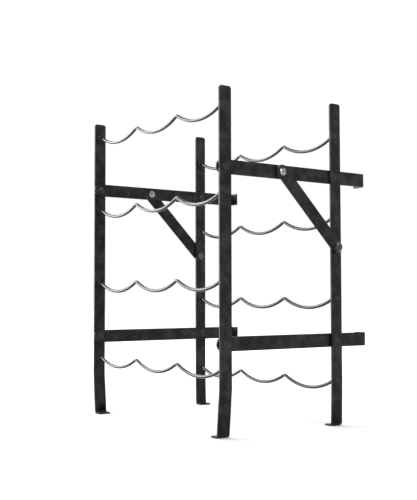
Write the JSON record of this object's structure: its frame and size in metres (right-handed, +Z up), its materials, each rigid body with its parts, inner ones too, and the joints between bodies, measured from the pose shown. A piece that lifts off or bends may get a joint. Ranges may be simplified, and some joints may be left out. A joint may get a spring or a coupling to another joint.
{
  "type": "folding wine rack",
  "caption": "Free-standing folding wine rack of black flat bar: two upright frames with waved wire shelves, joined by pivoting side rails and hooked struts.",
  "frame": {"origin": "on the floor, at the middle of the rack's box from left to right and from front to back", "axes": "+Z up, -Y towards the front where the bottle necks point, +X to the right as seen from behind the necks looking back"},
  "size_m": [0.3676, 0.281, 0.475],
  "materials": {
    "black_bar": "satin black powder coat on flat steel bar",
    "black_rod": "satin black powder coat on steel rod",
    "painted_rivet": "black coated steel rivet",
    "dark_spacer": "dark oxide steel",
    "bright_rivet": "bright zinc-plated steel",
    "black_knob": "glossy black moulded plastic"
  },
  "bodies": {
    "front_frame": {"front_left_upright": "black_bar", "front_right_upright": "black_bar", "front_wire_1": "black_rod", "front_wire_2": "black_rod", "front_wire_3": "black_rod", "front_wire_4": "black_rod", "front_rivets": "painted_rivet", "front_spacers": "dark_spacer"},
    "upper_right_rail_body": {"upper_right_rail": "black_bar", "right_strut_rivet": "bright_rivet"},
    "upper_left_rail_body": {"upper_left_rail": "black_bar", "left_strut_rivet": "bright_rivet"},
    "lower_right_rail_body": {"lower_right_rail": "black_bar"},
    "lower_left_rail_body": {"lower_left_rail": "black_bar"},
    "back_frame": {"back_left_upright": "black_bar", "back_right_upright": "black_bar", "back_wire_1": "black_rod", "back_wire_2": "black_rod", "back_wire_3": "black_rod", "back_wire_4": "black_rod", "back_rivets": "painted_rivet", "back_spacers": "dark_spacer", "left_clamp_stud": "dark_spacer", "right_clamp_stud": "dark_spacer"},
    "right_strut_body": {"right_strut": "black_bar"},
    "left_strut_body": {"left_strut": "black_bar"},
    "right_knob_body": {"right_clamp_knob": "black_knob", "right_clamp_washer": "dark_spacer"},
    "left_knob_body": {"left_clamp_knob": "black_knob", "left_clamp_washer": "dark_spacer"}
  },
  "joints": [
    {"name": "rack_fold", "type": "hinge", "parent": "front_frame", "child": "upper_right_rail_body", "pos_m": [0.1685, -0.1285, 0.365], "axis": [1, 0, 0], "range_deg": [0, 75]},
    {"name": "upper_left_rail_pivot", "type": "hinge", "parent": "front_frame", "child": "upper_left_rail_body", "pos_m": [-0.1685, -0.1285, 0.365], "axis": [1, 0, 0], "range_deg": [0, 75]},
    {"name": "lower_right_rail_pivot", "type": "hinge", "parent": "front_frame", "child": "lower_right_rail_body", "pos_m": [0.1685, -0.1285, 0.125], "axis": [1, 0, 0], "range_deg": [0, 75]},
    {"name": "lower_left_rail_pivot", "type": "hinge", "parent": "front_frame", "child": "lower_left_rail_body", "pos_m": [-0.1685, -0.1285, 0.125], "axis": [1, 0, 0], "range_deg": [0, 75]},
    {"name": "back_frame_pivot", "type": "hinge", "parent": "upper_right_rail_body", "child": "back_frame", "pos_m": [0.1685, 0.0755, 0.365], "axis": [1, 0, 0], "range_deg": [-75, 0]},
    {"name": "right_strut_swing", "type": "hinge", "parent": "upper_right_rail_body", "child": "right_strut_body", "pos_m": [0.17515, -0.029, 0.365], "axis": [1, 0, 0], "range_deg": [-120, 0]},
    {"name": "left_strut_swing", "type": "hinge", "parent": "upper_left_rail_body", "child": "left_strut_body", "pos_m": [-0.17515, -0.029, 0.365], "axis": [1, 0, 0], "range_deg": [-120, 0]},
    {"name": "right_knob_turn", "type": "hinge", "parent": "back_frame", "child": "right_knob_body", "pos_m": [0.18, 0.0755, 0.2615], "axis": [1, 0, 0], "range_deg": [-360, 0]},
    {"name": "left_knob_turn", "type": "hinge", "parent": "back_frame", "child": "left_knob_body", "pos_m": [-0.18, 0.0755, 0.2615], "axis": [1, 0, 0], "range_deg": [0, 360]}
  ],
  "couplings": [
    {"joint": "upper_left_rail_pivot", "follows": "rack_fold", "ratio": 1},
    {"joint": "lower_right_rail_pivot", "follows": "rack_fold", "ratio": 1},
    {"joint": "lower_left_rail_pivot", "follows": "rack_fold", "ratio": 1},
    {"joint": "back_frame_pivot", "follows": "rack_fold", "ratio": -1},
    {"joint": "right_strut_swing", "follows": "rack_fold", "ratio": -1.6},
    {"joint": "left_strut_swing", "follows": "rack_fold", "ratio": -1.6}
  ]
}
